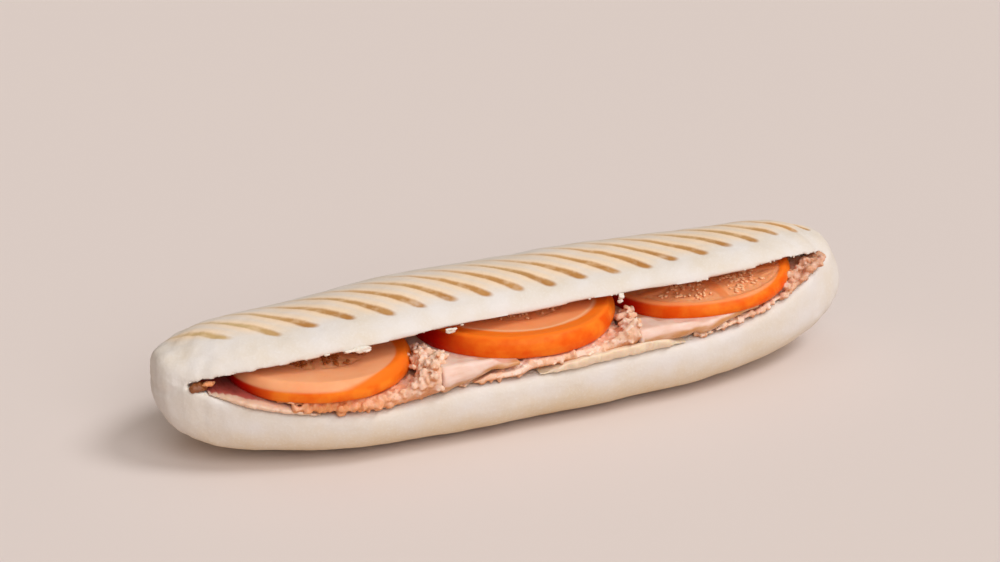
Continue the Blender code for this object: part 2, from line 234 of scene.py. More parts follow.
# The upper ribs touched the top alone, and the lower ones left fainter stripes on the underside.
fading = add(tree, "ShaderNodeMapRange", {0: axes["Y"], 1: CONTACT_BACK, 2: -4 * MM, 3: 0.0, 4: 1.0},
             interpolation_type="SMOOTHSTEP")[0]
top_share = add(tree, "ShaderNodeMapRange", {0: axes["Z"], 1: 30 * MM, 2: 38 * MM},
                interpolation_type="SMOOTHSTEP")[0]
under_share = add(tree, "ShaderNodeMapRange", {0: axes["Z"], 1: 2.5 * MM, 2: 0.6 * MM, 4: 0.7},
                  interpolation_type="SMOOTHSTEP")[0]
ends_clear = add(tree, "ShaderNodeMapRange", {0: end_share, 1: 0.78, 2: 0.68})[0]
touched = add(tree, "ShaderNodeMath", {0: top_share, 1: fading}, operation="MULTIPLY")[0]
touched = add(tree, "ShaderNodeMath", {0: touched, 1: ends_clear}, operation="MULTIPLY")[0]
touched = add(tree, "ShaderNodeMath", {0: touched, 1: under_share}, operation="ADD")[0]
streaks = add(tree, "ShaderNodeTexNoise", {"Vector": place, "Scale": 1 / (5 * MM), "Detail": 5.0})["Fac"]
streak_share = add(tree, "ShaderNodeMapRange", {0: streaks, 1: 0.3, 2: 0.5, 3: 0.6, 4: 1.0})[0]
stripe = add(tree, "ShaderNodeMath", {0: on_stripe, 1: touched}, operation="MULTIPLY")[0]
stripe = add(tree, "ShaderNodeMath", {0: stripe, 1: streak_share}, operation="MULTIPLY")[0]
pressed_share = add(tree, "ShaderNodeMapRange", {0: before_front, 1: 2.5 * MM, 2: -5 * MM},
                    interpolation_type="SMOOTHSTEP")[0]
halo = add(tree, "ShaderNodeMath", {0: near_stripe, 1: touched}, operation="MULTIPLY")[0]
halo = add(tree, "ShaderNodeMath", {0: halo, 1: pressed_share}, operation="MULTIPLY")[0]
halo_share = add(tree, "ShaderNodeMath", {0: halo, 1: 0.8}, operation="MULTIPLY")[0]

# The stripes differ a little in brown. They are darkest in patches at their front ends, and faint at the
# left end of the roll.
toast = add(tree, "ShaderNodeMix", {0: chances["Green"], 6: TOAST_GOLD, 7: TOAST_GREY}, data_type="RGBA")[2]
front_end = add(tree, "ShaderNodeMapRange", {0: axes["Y"], 1: -2 * MM, 2: -14 * MM, 4: 0.9})[0]
patches = add(tree, "ShaderNodeMapRange", {0: waver, 1: 0.35, 2: 0.6, 3: 0.35, 4: 1.0})[0]
darkest = add(tree, "ShaderNodeMath", {0: front_end, 1: patches}, operation="MULTIPLY")[0]
toast = add(tree, "ShaderNodeMix", {0: darkest, 6: toast, 7: TOAST_DARK}, data_type="RGBA")[2]
lightly = add(tree, "ShaderNodeMapRange", {0: axes["X"], 1: -84 * MM, 2: -100 * MM, 4: 0.75})[0]
toast = add(tree, "ShaderNodeMix", {0: lightly, 6: toast, 7: TOAST_FAINT}, data_type="RGBA")[2]
flour = add(tree, "ShaderNodeTexNoise", {"Vector": place, "Scale": 1 / FLOUR_GRAIN, "Detail": 4.0})["Fac"]
flour_share = add(tree, "ShaderNodeMapRange", {0: flour, 1: 0.5, 2: 0.75, 4: 0.35})[0]
floured = add(tree, "ShaderNodeMix", {0: flour_share, 6: baked, 7: FLOUR_WHITE}, data_type="RGBA")[2]
warmed = add(tree, "ShaderNodeMix", {0: halo_share, 6: floured, 7: WARMED_CREAM}, data_type="RGBA")[2]
striped = add(tree, "ShaderNodeMix", {0: stripe, 6: warmed, 7: toast}, data_type="RGBA")[2]
tree.links.new(striped, shader.inputs["Base Color"])
creases = add(tree, "ShaderNodeTexNoise", {"Vector": place, "Scale": 1 / (3 * MM), "Detail": 6.0})["Fac"]
grain = add(tree, "ShaderNodeMath", {0: flour, 1: 0.5, 2: creases}, operation="MULTIPLY_ADD")[0]
grain = add(tree, "ShaderNodeMath", {0: stripe, 1: -0.6, 2: grain}, operation="MULTIPLY_ADD")[0]
bump = add(tree, "ShaderNodeBump", {"Strength": 0.5, "Distance": 0.35 * MM, "Height": grain})[0]
tree.links.new(bump, shader.inputs["Normal"])

# White bread crumb: open, moist and springy, so it is dull, pitted with pores, and scatters light below its
# surface. At the back of the left end of the mouth it is painted dark maroon: painted shade.
CRUMB_CREAM = linear("#dccebb")
CRUMB_WHITE = linear("#e8ddd0")
CRUMB_SHADE_MAROON = linear("#b4402c")
PORE = 1.6 * MM

crumb, tree, shader, place = start_material("white_bread_crumb", 0.85, 0.2, (2.0, 1.4, 1.0))
axes = add(tree, "ShaderNodeSeparateXYZ", {0: place})
pores = add(tree, "ShaderNodeTexVoronoi", {"Vector": place, "Scale": 1 / PORE})["Distance"]
# The pits of the pores are painted a darker cream: painted shade.
pore_shade_share = add(tree, "ShaderNodeMapRange", {0: pores, 1: 0.1, 2: 0.5})[0]
crumb_tone = add(tree, "ShaderNodeMix", {0: pore_shade_share, 6: CRUMB_CREAM, 7: CRUMB_WHITE}, data_type="RGBA")[2]
# Painted shade: dark maroon at the back of the left end of the mouth.
crumb_shade_start = add(tree, "ShaderNodeMapRange", {0: axes["X"], 1: -118 * MM, 2: -113 * MM, 4: 0.85})[0]
crumb_shade_end = add(tree, "ShaderNodeMapRange", {0: axes["X"], 1: -92 * MM, 2: -101 * MM})[0]
crumb_shade_depth = add(tree, "ShaderNodeMapRange", {0: axes["Y"], 1: -19 * MM, 2: -15 * MM})[0]
crumb_shade = add(tree, "ShaderNodeMath", {0: crumb_shade_start, 1: crumb_shade_end}, operation="MULTIPLY")[0]
crumb_shade = add(tree, "ShaderNodeMath", {0: crumb_shade, 1: crumb_shade_depth}, operation="MULTIPLY")[0]
crumb_tone = add(tree, "ShaderNodeMix", {0: crumb_shade, 6: crumb_tone, 7: CRUMB_SHADE_MAROON}, data_type="RGBA")[2]
tree.links.new(crumb_tone, shader.inputs["Base Color"])
fibres = add(tree, "ShaderNodeTexNoise", {"Vector": place, "Scale": 1 / (4 * MM), "Detail": 5.0})["Fac"]
pitted = add(tree, "ShaderNodeMath", {0: pores, 1: fibres}, operation="ADD")[0]
bump = add(tree, "ShaderNodeBump", {"Strength": 0.6, "Distance": 0.5 * MM, "Height": pitted})[0]
tree.links.new(bump, shader.inputs["Normal"])


def reskin(piece, size):
    """Gives a piece an even skin of small faces that is fine enough for its relief."""
    choose(piece)
    modifier = piece.modifiers.new("skin", "REMESH")
    modifier.mode = "VOXEL"
    modifier.voxel_size = size
    bpy.ops.object.modifier_apply(modifier=modifier.name)
    bpy.ops.object.shade_smooth()


# The facets of the solid are rounded off, and each new face takes the material of the solid's nearest face.
ROLL_SKIN = 0.95 * MM
solid_roll = roll.copy()
solid_roll.data = roll.data.copy()
bpy.context.collection.objects.link(solid_roll)
choose(roll)
modifier = roll.modifiers.new("rounding", "SUBSURF")
modifier.levels = modifier.render_levels = 2
bpy.ops.object.modifier_apply(modifier=modifier.name)
reskin(roll, ROLL_SKIN)
roll.data.materials.clear()
roll.data.materials.append(crust)
roll.data.materials.append(crumb)
bpy.context.view_layer.update()
for face in roll.data.polygons:
    nearest = solid_roll.closest_point_on_mesh(face.center)[3]
    face.material_index = solid_roll.data.polygons[nearest].material_index
bpy.data.objects.remove(solid_roll)
sides_of_cut = [set() for _ in roll.data.vertices]
for face in roll.data.polygons:
    for k in face.vertices:
        sides_of_cut[k].add(face.material_index)
lips = [vert.co.copy() for vert, sides in zip(roll.data.vertices, sides_of_cut) if len(sides) == 2]

DOUGH = (
    # height and breadth of the unevenness of the hand-shaped dough
    (0.5 * MM, 24 * MM),
    (0.22 * MM, 9 * MM),
    (0.08 * MM, 3.5 * MM),
)
RIDGE = 0.4 * MM               # upright ridges round both ends
WRINKLE = 0.16 * MM            # finer ones round the left end
RIB_DENT = 0.22 * MM
SHUT_DENT = 0.6 * MM           # where the cut is shut, left of the mouth
SHUT_HEIGHT = 31.5 * MM
SUNK = 0.1 * MM                # the whole skin, to stay inside the solid


def smooth(value, low, high):
    """0 at low, 1 at high, eased between."""
    t = min(max((value - low) / (high - low), 0.0), 1.0)
    return t * t * (3 - 2 * t)


def relief(piece, rule, *masks):
    """Moves each point along its normal by the first value of rule(place, normal). The rest become masks."""
    mesh = piece.data
    results = [rule(vert.co.copy(), vert.normal.copy()) for vert in mesh.vertices]
    places = [vert.co + vert.normal * result[0] for vert, result in zip(mesh.vertices, results)]
    for vert, place in zip(mesh.vertices, places):
        vert.co = place
    for k, mask in enumerate(masks):
        layer = mesh.attributes.new(mask, "FLOAT", "POINT")
        layer.data.foreach_set("value", [result[k + 1] for result in results])
    mesh.update()


def baked_relief(place, normal):
    """The unevenness of the dough, its ridged ends, the dents of the ribs, and the shut end of the cut."""
    x, y, z = place
    dough = sum(height * noise.noise(place / breadth) for height, breadth in DOUGH)
    end = smooth(abs(x), 92 * MM, 122 * MM)
    ridge = noise.noise(Vector((x / (5 * MM), y / (5 * MM), z / (30 * MM))))
    wrinkle = noise.noise(Vector((x / (2 * MM), y / (2 * MM), z / (16 * MM))))
    ends = RIDGE * end * ridge + WRINKLE * end * wrinkle * smooth(-x, 0, 90 * MM)
    rib_count = (x + y * math.tan(RIB_TURN) - FIRST_RIB) / RIB_PITCH
    off_rib = abs(rib_count - round(rib_count)) * RIB_PITCH * math.cos(RIB_TURN)
    pressed = smooth(off_rib, 1.8 * MM, 0.6 * MM) * smooth(z, 36 * MM, 40 * MM)
    pressed *= smooth(y, 20 * MM, 0) * smooth(y, -19 * MM, -16 * MM)
    shut_line = SHUT_HEIGHT + 0.9 * (x + 126 * MM)
    shut = math.exp(-((z - shut_line) / (1.1 * MM)) ** 2) * smooth(-x, 123.5 * MM, 126.5 * MM)
    return (dough + ends - RIB_DENT * pressed - SHUT_DENT * shut - SUNK,)


relief(roll, baked_relief)
for vert in roll.data.vertices:
    vert.co.z = max(vert.co.z, 0.0)
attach(roll, "root")
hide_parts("roll")

# The torn crumb: bits of soft white bread that the knife pulled out along both lips. Most are small, and
# three tufts hang over the tomatoes.
CRUMB_SKIN = 0.2 * MM
NEXT_NOISE = 900               # moves the noise on from one bit to the next, so that no two are alike
LIP_BITS = 40
TUFTS = (
    # middle, half size each way, how many bits
    ((-67 * MM, -25.9 * MM, 38.9 * MM), (5.0 * MM, 0.7 * MM, 0.8 * MM), 44),
    ((-32.5 * MM, -25.2 * MM, 39.6 * MM), (1.8 * MM, 0.6 * MM, 0.9 * MM), 12),
    ((33.3 * MM, -24.4 * MM, 40.2 * MM), (0.3 * MM, 0.4 * MM, 2.2 * MM), 9),
)


def torn_bits(draw, spots, subdivisions, stretches, pull, grain):
    """One bit at each place, from a sphere of its size that is stretched and pulled out of shape."""
    bits = []
    for place, size in spots:
        bpy.ops.mesh.primitive_ico_sphere_add(subdivisions=subdivisions, radius=size)
        bit = bpy.context.object
        stretch = [draw.uniform(low, high) for low, high in stretches]
        for vert in bit.data.vertices:
            pulled = 1 + pull * noise.noise(vert.co / grain + place * NEXT_NOISE)
            vert.co = Vector([c * s * pulled for c, s in zip(vert.co, stretch)]) + place
        bits.append(bit)
    return bits


def soften(piece, times):
    """Evens out the small faces of a piece."""
    choose(piece)
    modifier = piece.modifiers.new("softening", "SMOOTH")
    modifier.iterations = times
    bpy.ops.object.modifier_apply(modifier=modifier.name)


draw = random.Random(3)
spots = [(place, draw.uniform(0.25, 0.5) * MM) for place in draw.sample(lips, LIP_BITS)]
for middle, half, count in TUFTS:
    for _ in range(count):
        place = Vector([draw.triangular(m - h, m + h) for m, h in zip(middle, half)])
        spots.append((place, draw.uniform(0.6, 1.1) * MM))
choose(*torn_bits(draw, spots, 3, ((0.8, 1.6), (0.5, 0.8), (0.4, 0.9)), 0.5, 0.7 * MM))
bpy.ops.object.join()
bits = bpy.context.object
bits.name = bits.data.name = "torn_crumb"
bpy.ops.object.origin_set(type="ORIGIN_CURSOR")
reskin(bits, CRUMB_SKIN)
soften(bits, 5)
bits.data.materials.append(crumb)
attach(bits, "root")

# The cheese: two thin slices of mild cheese on the bread, softened by the grill so that their torn front
# edges droop over the lower lip. The right one curls up over the chicken.
CHEESE_SKIN = 0.5 * MM
CHEESE_COLUMN = 2 * MM         # its front edge and underside are found in columns of this width
TEAR = 0.9 * MM
TORN_END = 9 * MM              # the front edge is torn back further within this length of both ends
DROOP = 0.6 * MM
CURL = 2.2 * MM
CHEESE_CREAM = linear("#efd8c2")
CHEESE_GOLD = linear("#e6c6a4")
MAROON_SHADE_AND_TINT = linear("#b03a34")

# Softened mild cheese: fatty and smooth, so it has a soft gloss and scatters light deep below its surface.
cheese_finish, tree, shader, place = start_material("softened_mild_cheese", 0.42, 0.35, (3.0, 1.8, 0.9))
mottle = add(tree, "ShaderNodeTexNoise", {"Vector": place, "Scale": 1 / (5 * MM), "Detail": 4.0})["Fac"]
cheese_tone = add(tree, "ShaderNodeMix", {0: mottle, 6: CHEESE_CREAM, 7: CHEESE_GOLD}, data_type="RGBA")[2]
# Painted shade: deep maroon at the back of the left end. The same maroon also tints the whole left sheet
# faintly.
maroon_shade_and_tint = add(tree, "ShaderNodeAttribute", attribute_name="maroon_shade_and_tint")["Fac"]
cheese_tone = add(tree, "ShaderNodeMix", {0: maroon_shade_and_tint, 6: cheese_tone, 7: MAROON_SHADE_AND_TINT}, data_type="RGBA")[2]
tree.links.new(cheese_tone, shader.inputs["Base Color"])
bump = add(tree, "ShaderNodeBump", {"Strength": 0.3, "Distance": 0.3 * MM, "Height": mottle})[0]
tree.links.new(bump, shader.inputs["Normal"])


def least(places, axis, column):
    """The least value on this axis in each column along the roll."""
    found = {}
    for place in places:
        key = round(place.x / column)
        found[key] = min(found.get(key, 1.0), place[axis])
    return found


def torn_edge(place, front, floor, left_end, right_end):
    """Where a point of the sheet goes: its edge is torn back, droops over the lip, and curls up in part."""
    x, y, z = place
    behind = y - front
    ends = 1 - smooth(min(x - left_end, right_end - x), 0, TORN_END)
    torn = 0.5 + noise.noise(Vector((x / (4 * MM), 2, 0))) + 0.4 * noise.noise(Vector((x / MM, 5, 0)))
    back = smooth(behind, 14 * MM, 1 * MM) * (TEAR * torn + 2 * TEAR * ends)
    z = floor + (z - floor) * (1 - 0.75 * ends)
    curled = smooth(behind, 5 * MM, 1 * MM) * smooth(x, -4 * MM, 14 * MM) * smooth(x, 56 * MM, 40 * MM)
    curled *= smooth(z - floor, 0, 1.5 * MM)
    droop = DROOP * smooth(behind, 3 * MM, 0)
    return x, y + back - 0.5 * CURL * curled, z - droop + CURL * curled


def cheese_relief(place, normal, fronts):
    """Soft waves with small tears along the front edge, painted shade in deep maroon at the back of the left
    end, and a faint maroon tint over the left sheet.
    """
    edge = smooth(-normal.y, 0.2, 0.9)
    tear = noise.noise(place / (2.2 * MM)) * 0.5 * MM + noise.noise(place / (5 * MM)) * 0.4 * MM
    behind = place.y - fronts.get(round(place.x / CHEESE_COLUMN), 0.0)
    # Painted shade at the back of the left end, and a faint tint further left.
    maroon_shade_and_tint = smooth(behind, 3.5 * MM, 6 * MM) * smooth(place.x, -98 * MM, -104 * MM)
    faint_tint = 0.26 * smooth(place.x, -60 * MM, -80 * MM)
    return 0.2 * MM * noise.noise(place / (5 * MM)) + edge * tear, max(0.9 * maroon_shade_and_tint, faint_tint)


for node in ("cheese_slice_left", "cheese_slice_right"):
    cheese = dressed_copy(node, node.replace("slice", "sheet"))
    reskin(cheese, CHEESE_SKIN)
    left_end, right_end = (corner.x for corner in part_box(node))
    places = [vert.co.copy() for vert in cheese.data.vertices]
    fronts = least(places, 1, CHEESE_COLUMN)
    floors = least(places, 2, CHEESE_COLUMN)
    for vert in cheese.data.vertices:
        column = round(vert.co.x / CHEESE_COLUMN)
        vert.co = torn_edge(vert.co, fronts[column], floors[column], left_end, right_end)
    relief(cheese, lambda place, normal: cheese_relief(place, normal, fronts), "maroon_shade_and_tint")
    cheese.data.materials.append(cheese_finish)
    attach(cheese, "root")
    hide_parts(node)

# The smooth slices: two folded slices of roast chicken breast, pale and moist inside, laid over the lower
# lip. Their brown roasted skin shows as a line along their lower edges.
SLICE_SKIN = 0.5 * MM
SLICE_COLUMN = 3 * MM          # the lower edge is found in columns of this width
BROWNED = {"chicken_slice_middle": 2.2 * MM, "chicken_slice_right": 3.0 * MM}  # height of the browned edge
BREAST_PINK = linear("#ebcbbc")
BREAST_BEIGE = linear("#e3b9a4")
SKIN_BROWN = linear("#c98a50")

# Roast chicken breast: moist and close-grained, with a soft gloss, and light scatters below its surface.
roast, tree, shader, place = start_material("sliced_roast_chicken_breast", 0.45, 0.3, (3.0, 1.5, 0.9))
flat = add(tree, "ShaderNodeMapping", {"Vector": place, "Scale": (1.0, 1.0, 3.5)})[0]
meat_grain = add(tree, "ShaderNodeTexNoise", {"Vector": flat, "Scale": 1 / (6 * MM), "Detail": 6.0})["Fac"]
grain_share = add(tree, "ShaderNodeMapRange", {0: meat_grain, 1: 0.35, 2: 0.65})[0]
meat_tone = add(tree, "ShaderNodeMix", {0: grain_share, 6: BREAST_PINK, 7: BREAST_BEIGE}, data_type="RGBA")[2]
browned_and_shade = add(tree, "ShaderNodeAttribute", attribute_name="browned_and_shade")["Fac"]
patchy = add(tree, "ShaderNodeMapRange", {0: meat_grain, 1: 0.3, 2: 0.6, 3: 0.6, 4: 1.0})[0]
browned_share = add(tree, "ShaderNodeMath", {0: browned_and_shade, 1: patchy}, operation="MULTIPLY")[0]
meat_tone = add(tree, "ShaderNodeMix", {0: browned_share, 6: meat_tone, 7: SKIN_BROWN}, data_type="RGBA")[2]
tree.links.new(meat_tone, shader.inputs["Base Color"])
bump = add(tree, "ShaderNodeBump", {"Strength": 0.35, "Distance": 0.3 * MM, "Height": meat_grain})[0]
tree.links.new(bump, shader.inputs["Normal"])


def slice_relief(place, normal, lows, browned_height):
    """The grain of the breast, and the browned skin along the lower edge."""
    along_grain = Vector((place.x / (9 * MM), place.y / (5 * MM), place.z / (1.6 * MM)))
    rise = 0.16 * MM * noise.noise(along_grain) + 0.3 * MM * noise.noise(place / (8 * MM)) + 0.1 * MM
    column = place.x / SLICE_COLUMN
    share = column - math.floor(column)
    low = (1 - share) * lows.get(math.floor(column), 0.0) + share * lows.get(math.ceil(column), 0.0)
    band = browned_height + 0.9 * MM * noise.noise(Vector((place.x / (7 * MM), 3, 0)))
    browned_and_shade = smooth(place.z - low, band + 0.6 * MM, band - 0.5 * MM) * smooth(-normal.y, -0.3, 0.2)
    return rise, browned_and_shade


for node, browned_height in BROWNED.items():
    chicken = dressed_copy(node, node.replace("chicken", "roast_chicken"))
    reskin(chicken, SLICE_SKIN)
    soften(chicken, 12)
    places = [vert.co.copy() for vert in chicken.data.vertices]
    fronts = least(places, 1, SLICE_COLUMN)
    at_front = [place for place in places if place.y < fronts[round(place.x / SLICE_COLUMN)] + 2 * MM]
    lows = least(at_front, 2, SLICE_COLUMN)
    relief(chicken, lambda place, normal: slice_relief(place, normal, lows, browned_height), "browned_and_shade")
    chicken.data.materials.append(roast)
    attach(chicken, "root")
    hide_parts(node)

# The torn pieces: roast chicken pulled into coarse clumps by hand, packed between the slices and up to the
# tomatoes. They are pink to beige, with painted shade in the gaps between clumps and brown painted shade on
# the faces that point down.
TORN_SKIN = 0.38 * MM
CORE_SKIN = 0.8 * MM
CORE_SHRUNK = 0.6 * MM         # the clumps lie on a core that is this much smaller than the solid
CLUMP_SUNK = 0.7 * MM
INTO_END = Vector((5.5, 2.0, 3.2)) * MM  # how far the last pieces reach into the right end of the mouth
HEAPS = {
    # how many clumps lie on the heap, and the lines along which more are packed: both ends, spread, how many
    "chicken_pieces_left": (230, (
        ((-94 * MM, -31.5 * MM, 24.2 * MM), (-64 * MM, -37.0 * MM, 22.0 * MM), 0.8 * MM, 60),
        ((-49 * MM, -38.0 * MM, 27.0 * MM), (-43 * MM, -37.5 * MM, 33.5 * MM), 1.8 * MM, 50),
        ((-46 * MM, -33.0 * MM, 30.5 * MM), (-41 * MM, -14.0 * MM, 30.0 * MM), 3.4 * MM, 120),
        ((-40 * MM, -33.0 * MM, 32.5 * MM), (-38 * MM, -22.0 * MM, 31.5 * MM), 1.8 * MM, 30),
    )),
    "chicken_pieces_middle": (230, (
        ((34 * MM, -32.0 * MM, 32.0 * MM), (39 * MM, -16.0 * MM, 31.0 * MM), 2.6 * MM, 90),
        ((28 * MM, -36.5 * MM, 30.5 * MM), (34 * MM, -37.5 * MM, 33.0 * MM), 1.4 * MM, 24),
    )),
    "chicken_pieces_right": (230, (
        ((100 * MM, -24.0 * MM, 34.0 * MM), (118 * MM, -16.0 * MM, 38.0 * MM), 1.7 * MM, 50),
    )),
}
TORN_PINK = linear("#f8dac8")
TORN_BEIGE = linear("#ebb998")
TORN_TAN = linear("#e39a60")
SPECK_BROWN = linear("#b0764e")
GAP_SHADE_BROWN = linear("#a8714c")
ROAST_AND_SHADE_BROWN = linear("#cc7c3e")
LEFT_ORANGE = linear("#e08c4c")
RIGHT_BROWN = linear("#c0703c")
ROAST_AND_SHADE_DARK = linear("#64300f")
CLUMP = 2.2 * MM
FIBRE = 1.3 * MM               # coarser than real fibres, so that they show

# Torn roast chicken: moist fibres that each differ in tone, with a soft gloss and light scattered in them.
torn, tree, shader, place = start_material("torn_roast_chicken", 0.5, 0.25, (2.5, 1.2, 0.7))
cells = add(tree, "ShaderNodeTexVoronoi", {"Vector": place, "Scale": 1 / CLUMP})["Color"]
chances = add(tree, "ShaderNodeSeparateColor", {0: cells})
speckle = add(tree, "ShaderNodeTexNoise", {"Vector": place, "Scale": 1 / FIBRE, "Detail": 4.0})["Fac"]
torn_tone = add(tree, "ShaderNodeMix", {0: chances["Red"], 6: TORN_PINK, 7: TORN_BEIGE}, data_type="RGBA")[2]
regions = add(tree, "ShaderNodeTexNoise", {"Vector": place, "Scale": 1 / (11 * MM), "Detail": 2.0})["Fac"]
region_share = add(tree, "ShaderNodeMapRange", {0: regions, 1: 0.45, 2: 0.65, 4: 0.4})[0]
torn_tone = add(tree, "ShaderNodeMix", {0: region_share, 6: torn_tone, 7: TORN_TAN}, data_type="RGBA")[2]
speckle_share = add(tree, "ShaderNodeMapRange", {0: speckle, 1: 0.58, 2: 0.72, 4: 0.5})[0]
torn_tone = add(tree, "ShaderNodeMix", {0: speckle_share, 6: torn_tone, 7: SPECK_BROWN}, data_type="RGBA")[2]
# Painted shade: darker brown in the gaps between clumps.
gap_shade = add(tree, "ShaderNodeAttribute", attribute_name="gap_shade")["Fac"]
gap_shade_share = add(tree, "ShaderNodeMath", {0: gap_shade, 1: 0.45}, operation="MULTIPLY")[0]
torn_tone = add(tree, "ShaderNodeMix", {0: gap_shade_share, 6: torn_tone, 7: GAP_SHADE_BROWN}, data_type="RGBA")[2]
# The faces that point down are painted brown: painted shade. The shreds use the same mask for their roasted
# brown.
browned_and_shade = add(tree, "ShaderNodeAttribute", attribute_name="browned_and_shade")["Fac"]
torn_tone = add(tree, "ShaderNodeMix", {0: browned_and_shade, 6: torn_tone, 7: ROAST_AND_SHADE_BROWN}, data_type="RGBA")[2]

# The left heap is more orange, the right end browner, and a shred that is marked above 1 is dark: roasted,
# and painted shade at the shut tip of the mouth.
axes = add(tree, "ShaderNodeSeparateXYZ", {0: place})
left_heap = add(tree, "ShaderNodeMapRange", {0: axes["X"], 1: -46 * MM, 2: -62 * MM, 4: 1.5})[0]
left_heap = add(tree, "ShaderNodeMath", {0: left_heap, 1: regions}, operation="MULTIPLY")[0]
torn_tone = add(tree, "ShaderNodeMix", {0: left_heap, 6: torn_tone, 7: LEFT_ORANGE}, data_type="RGBA")[2]
right_end = add(tree, "ShaderNodeMapRange", {0: axes["X"], 1: 96 * MM, 2: 108 * MM, 4: 0.9})[0]
right_end = add(tree, "ShaderNodeMath", {0: right_end, 1: speckle}, operation="MULTIPLY")[0]
torn_tone = add(tree, "ShaderNodeMix", {0: right_end, 6: torn_tone, 7: RIGHT_BROWN}, data_type="RGBA")[2]
roast_and_shade = add(tree, "ShaderNodeMapRange", {0: browned_and_shade, 1: 1.0, 2: 2.0, 4: 0.9})[0]
torn_tone = add(tree, "ShaderNodeMix", {0: roast_and_shade, 6: torn_tone, 7: ROAST_AND_SHADE_DARK}, data_type="RGBA")[2]
tree.links.new(torn_tone, shader.inputs["Base Color"])
bump = add(tree, "ShaderNodeBump", {"Strength": 0.4, "Distance": 0.3 * MM, "Height": speckle})[0]
tree.links.new(bump, shader.inputs["Normal"])


def torn_relief(place, normal):
    """Short fibres on the clumps, and brown painted shade on what faces down."""
    pulled = place + 0.5 * MM * noise.noise_vector(place / (1.2 * MM))
    fibres = noise.noise(Vector((pulled.x / (0.8 * MM), pulled.y / (1.5 * MM), pulled.z / (0.8 * MM))))
    return 0.2 * MM * fibres, 0.85 * smooth(-normal.z, 0.0, 0.6)


def mark_gap_shade(piece):
    """Marks painted shade in the gaps between clumps: where a point lies deeper than its neighbours, evened
    out twice.
    """
    mesh = piece.data
    depths = [0.0] * len(mesh.vertices)
    neighbours = [0] * len(mesh.vertices)
    for edge in mesh.edges:
        one, other = (mesh.vertices[k] for k in edge.vertices)
        depths[one.index] += (other.co - one.co).dot(one.normal)
        depths[other.index] += (one.co - other.co).dot(other.normal)
        neighbours[one.index] += 1
        neighbours[other.index] += 1
    depths = [depth / max(count, 1) for depth, count in zip(depths, neighbours)]
    for _ in range(2):
        spread = list(depths)
        for edge in mesh.edges:
            one, other = edge.vertices
            spread[one] += depths[other]
            spread[other] += depths[one]
        depths = [depth / (count + 1) for depth, count in zip(spread, neighbours)]
    layer = mesh.attributes.new("gap_shade", "FLOAT", "POINT")
    layer.data.foreach_set("value", [smooth(depth, 0.01 * MM, 0.08 * MM) for depth in depths])


draw = random.Random(11)
for node, (on_heap, lines) in HEAPS.items():
    heap = dressed_copy(node, node.replace("chicken", "torn_chicken"))
    reskin(heap, CORE_SKIN)
    places = []
    for vert in heap.data.vertices:
        vert.co += INTO_END * smooth(vert.co.x, 101 * MM, 117 * MM)
        shows = max(smooth(-vert.normal.y, -0.1, 0.3), smooth(vert.normal.z, 0.2, 0.6))
        if shows > 0.5:
            places.append(vert.co - CLUMP_SUNK * vert.normal)
        vert.co -= CORE_SHRUNK * shows * vert.normal
    spots = [(place, draw.uniform(0.7, 1.4) * MM) for place in draw.sample(places, on_heap)]
    for one_end, other_end, spread, count in lines:
        for _ in range(count):
            place = Vector(one_end).lerp(Vector(other_end), draw.random())
            place += Vector([draw.gauss(0, 0.5) for _ in range(3)]) * spread
            spots.append((place, draw.uniform(0.7, 1.3) * MM))
    choose(heap, *torn_bits(draw, spots, 2, [(0.65, 1.5)] * 3, 0.55, 1.1 * MM))
    bpy.ops.object.join()
    reskin(heap, TORN_SKIN)
    relief(heap, torn_relief, "browned_and_shade")
    mark_gap_shade(heap)
    heap.data.materials.append(torn)
    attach(heap, "root")
    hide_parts(node)

# Two loose shreds: more of the torn roast chicken, pushed into the left end of the mouth. A dark one lies at
# its tip, roasted and also standing in as painted shade for the shut tip, and a pale one on top of that.
SHREDS = (
    # name, place, half size in mm, how brown
    ("shaded_browned_shred", (-120.4 * MM, -15.9 * MM, 30.9 * MM), (3.9, 2.2, 1.5), 1.9),
    ("pale_shred", (-117.2 * MM, -16.5 * MM, 31.9 * MM), (2.5, 1.5, 0.8), 0.0),
)
SHRED_TURN = math.radians(-20)


def shred_relief(place, normal, brown):
    """Uneven, with the same fibres."""
    fibres = torn_relief(place, normal)[0]
    return 0.5 * MM * noise.noise(place / (1.6 * MM)) + fibres, brown


for name, place, half_size, brown in SHREDS:
    bpy.ops.mesh.primitive_ico_sphere_add(subdivisions=5, radius=MM)
    shred = bpy.context.object
    shred.name = shred.data.name = name
    bpy.ops.object.mode_set(mode="EDIT")
    bpy.ops.mesh.select_all(action="SELECT")
    bpy.ops.transform.resize(value=half_size)
    bpy.ops.transform.rotate(value=SHRED_TURN, orient_axis="Z", center_override=(0, 0, 0))
    bpy.ops.transform.translate(value=place)
    bpy.ops.object.mode_set(mode="OBJECT")
    bpy.ops.object.origin_set(type="ORIGIN_CURSOR")
    bpy.ops.object.shade_smooth()
    relief(shred, lambda place, normal: shred_relief(place, normal, brown), "browned_and_shade")
    shred.data.materials.append(torn)
    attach(shred, "root")

